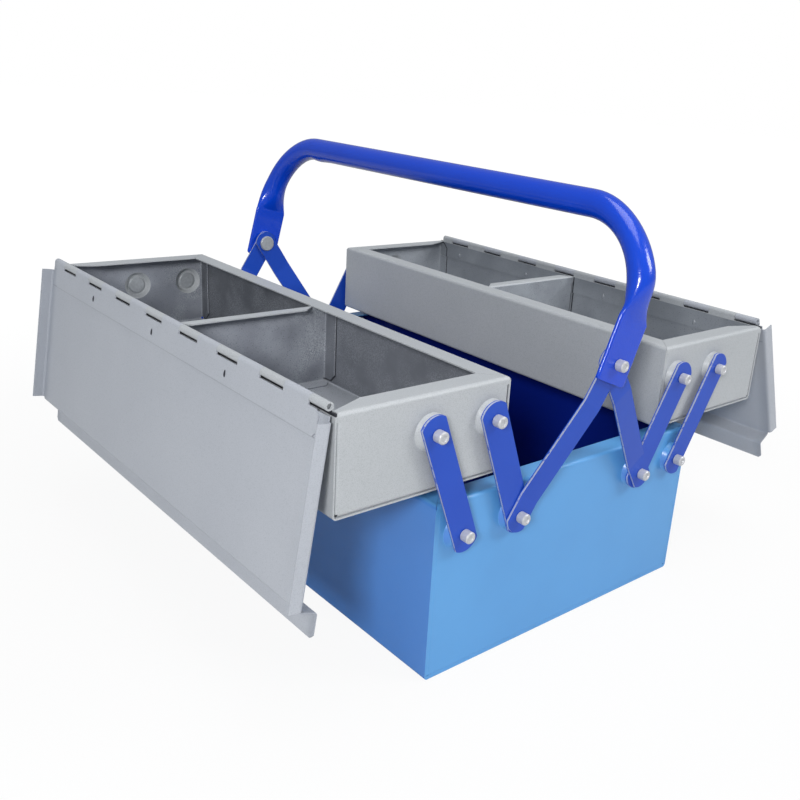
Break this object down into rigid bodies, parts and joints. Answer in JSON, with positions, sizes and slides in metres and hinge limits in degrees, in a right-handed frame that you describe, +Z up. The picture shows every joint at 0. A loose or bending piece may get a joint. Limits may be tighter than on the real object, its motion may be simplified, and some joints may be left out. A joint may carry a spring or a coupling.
{
  "type": "cantilever tool box",
  "caption": "Steel cantilever tool box with a deep base, trays that swing out level on parallel arms, hinged lids and a bent tube handle.",
  "frame": {"origin": "middle of the base box's underside, on the surface it stands on", "axes": "+X along the box towards its near end, +Y across it towards the right tray, +Z up"},
  "size_m": [0.464, 0.4981, 0.3026],
  "materials": {
    "base_blue": "glossy light blue enamel",
    "frame_blue": "glossy royal blue enamel, chipped along sheared edges",
    "tray_grey": "light grey hammered enamel",
    "hinge_wire_steel": "plain drawn wire",
    "rivet_metal": "dull bright plated steel"
  },
  "bodies": {
    "base": {"base_pan": "base_blue", "base_end_near": "base_blue", "base_end_far": "base_blue", "base_rivets": "rivet_metal", "left_link_near": "frame_blue", "right_link_near": "frame_blue", "left_link_far": "frame_blue", "right_link_far": "frame_blue", "handle_rivets": "rivet_metal"},
    "left_inner_arm_near": {"left_inner_arm_near": "frame_blue"},
    "left_inner_arm_far": {"left_inner_arm_far": "frame_blue"},
    "left_outer_arm_near": {"left_outer_arm_near": "frame_blue"},
    "left_outer_arm_far": {"left_outer_arm_far": "frame_blue"},
    "left_tray": {"left_tray_pan": "tray_grey", "left_tray_end_near": "tray_grey", "left_tray_end_far": "tray_grey", "left_divider": "tray_grey", "left_tray_hinge_leaf": "tray_grey", "left_hinge_wire": "hinge_wire_steel", "left_tray_rivets": "rivet_metal"},
    "left_lid": {"left_lid": "tray_grey", "left_lid_hinge_leaf": "tray_grey"},
    "right_inner_arm_near": {"right_inner_arm_near": "frame_blue"},
    "right_inner_arm_far": {"right_inner_arm_far": "frame_blue"},
    "right_outer_arm_near": {"right_outer_arm_near": "frame_blue"},
    "right_outer_arm_far": {"right_outer_arm_far": "frame_blue"},
    "right_tray": {"right_tray_pan": "tray_grey", "right_tray_end_near": "tray_grey", "right_tray_end_far": "tray_grey", "right_divider": "tray_grey", "right_tray_hinge_leaf": "tray_grey", "right_hinge_wire": "hinge_wire_steel", "right_tray_rivets": "rivet_metal"},
    "right_lid": {"right_lid": "tray_grey", "right_lid_hinge_leaf": "tray_grey"},
    "handle": {"handle": "frame_blue"}
  },
  "joints": [
    {"name": "left_inner_arm_near_swing", "type": "hinge", "parent": "base", "child": "left_inner_arm_near", "pos_m": [0.20515, -0.0625, 0.1025], "axis": [1, 0, 0], "range_deg": [-58.3, 16.5]},
    {"name": "left_inner_arm_far_swing", "type": "hinge", "parent": "base", "child": "left_inner_arm_far", "pos_m": [-0.20515, -0.0625, 0.1025], "axis": [1, 0, 0], "range_deg": [-58.3, 16.5]},
    {"name": "left_outer_arm_near_swing", "type": "hinge", "parent": "base", "child": "left_outer_arm_near", "pos_m": [0.20515, -0.109, 0.1025], "axis": [1, 0, 0], "range_deg": [-58.3, 16.5]},
    {"name": "left_outer_arm_far_swing", "type": "hinge", "parent": "base", "child": "left_outer_arm_far", "pos_m": [-0.20515, -0.109, 0.1025], "axis": [1, 0, 0], "range_deg": [-58.3, 16.5]},
    {"name": "left_tray_level", "type": "hinge", "parent": "left_inner_arm_near", "child": "left_tray", "pos_m": [0.20515, -0.08992, 0.17392], "axis": [1, 0, 0], "range_deg": [-16.5, 58.3]},
    {"name": "left_lid_hinge", "type": "hinge", "parent": "left_tray", "child": "left_lid", "pos_m": [0, -0.20307, 0.20042], "axis": [-1, 0, 0], "range_deg": [-1, 261.8]},
    {"name": "right_inner_arm_near_swing", "type": "hinge", "parent": "base", "child": "right_inner_arm_near", "pos_m": [0.20515, 0.0625, 0.1025], "axis": [-1, 0, 0], "range_deg": [-66.1, 8.7]},
    {"name": "right_inner_arm_far_swing", "type": "hinge", "parent": "base", "child": "right_inner_arm_far", "pos_m": [-0.20515, 0.0625, 0.1025], "axis": [-1, 0, 0], "range_deg": [-66.1, 8.7]},
    {"name": "right_outer_arm_near_swing", "type": "hinge", "parent": "base", "child": "right_outer_arm_near", "pos_m": [0.20515, 0.109, 0.1025], "axis": [-1, 0, 0], "range_deg": [-66.1, 8.7]},
    {"name": "right_outer_arm_far_swing", "type": "hinge", "parent": "base", "child": "right_outer_arm_far", "pos_m": [-0.20515, 0.109, 0.1025], "axis": [-1, 0, 0], "range_deg": [-66.1, 8.7]},
    {"name": "right_tray_level", "type": "hinge", "parent": "right_inner_arm_near", "child": "right_tray", "pos_m": [0.20515, 0.09936, 0.16954], "axis": [-1, 0, 0], "range_deg": [-8.7, 66.1]},
    {"name": "right_lid_hinge", "type": "hinge", "parent": "right_tray", "child": "right_lid", "pos_m": [0, 0.21251, 0.19604], "axis": [1, 0, 0], "range_deg": [-16, 246.2]},
    {"name": "handle_swing", "type": "hinge", "parent": "base", "child": "handle", "pos_m": [0, 0, 0.1995], "axis": [-1, 0, 0], "range_deg": [-89, 61]}
  ],
  "couplings": [
    {"joint": "left_inner_arm_far_swing", "follows": "left_inner_arm_near_swing", "ratio": 1},
    {"joint": "left_outer_arm_near_swing", "follows": "left_inner_arm_near_swing", "ratio": 1},
    {"joint": "left_outer_arm_far_swing", "follows": "left_inner_arm_near_swing", "ratio": 1},
    {"joint": "left_tray_level", "follows": "left_inner_arm_near_swing", "ratio": -1},
    {"joint": "right_inner_arm_far_swing", "follows": "right_inner_arm_near_swing", "ratio": 1},
    {"joint": "right_outer_arm_near_swing", "follows": "right_inner_arm_near_swing", "ratio": 1},
    {"joint": "right_outer_arm_far_swing", "follows": "right_inner_arm_near_swing", "ratio": 1},
    {"joint": "right_tray_level", "follows": "right_inner_arm_near_swing", "ratio": -1}
  ]
}
